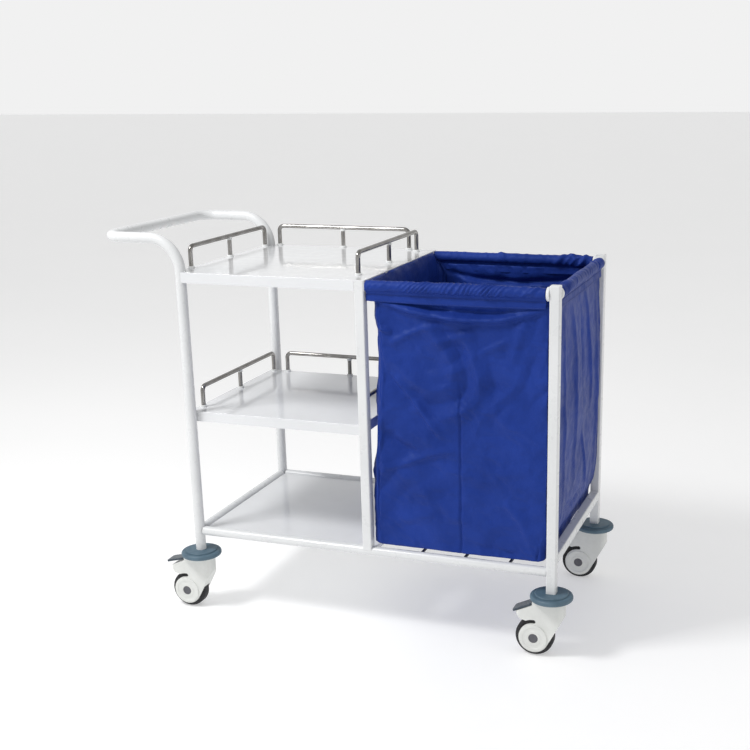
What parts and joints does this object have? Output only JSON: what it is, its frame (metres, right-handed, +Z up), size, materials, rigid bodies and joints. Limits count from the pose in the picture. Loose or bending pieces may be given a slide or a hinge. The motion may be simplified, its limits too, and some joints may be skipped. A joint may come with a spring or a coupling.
{
  "type": "linen trolley",
  "caption": "Tube-framed linen trolley with two railed trays, a lower deck, a hanging open-topped bag, a U-shaped push handle and braked swivel casters.",
  "frame": {"origin": "on the floor, under the middle of the trolley's outline", "axes": "+X along the length from the push handle to the bag, +Y from the open front to the rear, +Z up"},
  "size_m": [1.289, 0.628, 1.044],
  "materials": {
    "white_frame": "glossy white powder coat",
    "white_tray": "high-gloss white powder coat",
    "stainless": "polished stainless tube",
    "white_plastic": "moulded white plastic",
    "dark_steel": "dark coated bar",
    "zinc_steel": "zinc plated",
    "bag_cloth": "royal blue coated woven cloth",
    "bumper_rubber": "blue-grey semi-matt",
    "caster_plastic": "off-white moulded",
    "core_plastic": "grey moulded",
    "slate_plastic": "dark slate moulded",
    "tyre_rubber": "near black"
  },
  "bodies": {
    "frame": {"push_handle": "white_frame", "left_post_front": "white_frame", "left_post_rear": "white_frame", "middle_post_front": "white_frame", "middle_post_rear": "white_frame", "right_post_front": "white_frame", "right_post_rear": "white_frame", "base_rail_front": "white_frame", "base_rail_rear": "white_frame", "base_rail_left": "white_frame", "right_cross_rail": "white_frame", "bag_rail_front": "white_frame", "bag_rail_rear": "white_frame", "bag_rail_right": "white_frame", "bag_rail_left": "white_frame", "top_tray": "white_tray", "middle_tray": "white_tray", "deck_panel": "white_tray", "top_guard_left": "stainless", "top_guard_rear": "stainless", "top_guard_right": "stainless", "middle_guard_left": "stainless", "middle_guard_rear": "stainless", "middle_guard_right": "stainless", "post_caps": "white_plastic", "rail_collars": "white_plastic", "guard_feet": "white_plastic", "guard_saddles": "white_plastic", "bag_rods": "dark_steel", "caster_stems": "zinc_steel", "linen_bag": "bag_cloth", "bumpers": "bumper_rubber"},
    "caster_front_left": {"housing_front_left": "caster_plastic", "side_covers_front_left": "caster_plastic", "axle_front_left": "zinc_steel", "hub_caps_front_left": "slate_plastic"},
    "wheel_front_left": {"wheel_core_front_left": "core_plastic", "tyre_front_left": "tyre_rubber"},
    "pedal_front_left": {"brake_pedal_front_left": "slate_plastic"},
    "caster_front_right": {"housing_front_right": "caster_plastic", "side_covers_front_right": "caster_plastic", "axle_front_right": "zinc_steel", "hub_caps_front_right": "slate_plastic"},
    "wheel_front_right": {"wheel_core_front_right": "core_plastic", "tyre_front_right": "tyre_rubber"},
    "pedal_front_right": {"brake_pedal_front_right": "slate_plastic"},
    "caster_rear_left": {"housing_rear_left": "caster_plastic", "side_covers_rear_left": "caster_plastic", "axle_rear_left": "zinc_steel", "hub_caps_rear_left": "slate_plastic"},
    "wheel_rear_left": {"wheel_core_rear_left": "core_plastic", "tyre_rear_left": "tyre_rubber"},
    "pedal_rear_left": {"brake_pedal_rear_left": "slate_plastic"},
    "caster_rear_right": {"housing_rear_right": "caster_plastic", "side_covers_rear_right": "caster_plastic", "axle_rear_right": "zinc_steel", "hub_caps_rear_right": "slate_plastic"},
    "wheel_rear_right": {"wheel_core_rear_right": "core_plastic", "tyre_rear_right": "tyre_rubber"},
    "pedal_rear_right": {"brake_pedal_rear_right": "slate_plastic"}
  },
  "joints": [
    {"name": "swivel_front_left", "type": "hinge", "parent": "frame", "child": "caster_front_left", "pos_m": [-0.4105, -0.259, 0.13], "axis": [0, 0, 1], "continuous": true},
    {"name": "wheel_spin_front_left", "type": "hinge", "parent": "caster_front_left", "child": "wheel_front_left", "pos_m": [-0.4515, -0.259, 0.05], "axis": [0, 1, 0], "continuous": true},
    {"name": "brake_front_left", "type": "hinge", "parent": "caster_front_left", "child": "pedal_front_left", "pos_m": [-0.4485, -0.259, 0.146], "axis": [0, -1, 0], "range_deg": [0, 11]},
    {"name": "swivel_front_right", "type": "hinge", "parent": "frame", "child": "caster_front_right", "pos_m": [0.5895, -0.259, 0.13], "axis": [0, 0, 1], "continuous": true},
    {"name": "wheel_spin_front_right", "type": "hinge", "parent": "caster_front_right", "child": "wheel_front_right", "pos_m": [0.5485, -0.259, 0.05], "axis": [0, 1, 0], "continuous": true},
    {"name": "brake_front_right", "type": "hinge", "parent": "caster_front_right", "child": "pedal_front_right", "pos_m": [0.5515, -0.259, 0.146], "axis": [0, -1, 0], "range_deg": [-11, 0]},
    {"name": "swivel_rear_left", "type": "hinge", "parent": "frame", "child": "caster_rear_left", "pos_m": [-0.4105, 0.259, 0.13], "axis": [0, 0, 1], "continuous": true},
    {"name": "wheel_spin_rear_left", "type": "hinge", "parent": "caster_rear_left", "child": "wheel_rear_left", "pos_m": [-0.4515, 0.259, 0.05], "axis": [0, 1, 0], "continuous": true},
    {"name": "brake_rear_left", "type": "hinge", "parent": "caster_rear_left", "child": "pedal_rear_left", "pos_m": [-0.4485, 0.259, 0.146], "axis": [0, -1, 0], "range_deg": [0, 11]},
    {"name": "swivel_rear_right", "type": "hinge", "parent": "frame", "child": "caster_rear_right", "pos_m": [0.5895, 0.259, 0.13], "axis": [0, 0, 1], "continuous": true},
    {"name": "wheel_spin_rear_right", "type": "hinge", "parent": "caster_rear_right", "child": "wheel_rear_right", "pos_m": [0.5485, 0.259, 0.05], "axis": [0, 1, 0], "continuous": true},
    {"name": "brake_rear_right", "type": "hinge", "parent": "caster_rear_right", "child": "pedal_rear_right", "pos_m": [0.5515, 0.259, 0.146], "axis": [0, -1, 0], "range_deg": [0, 11]}
  ]
}
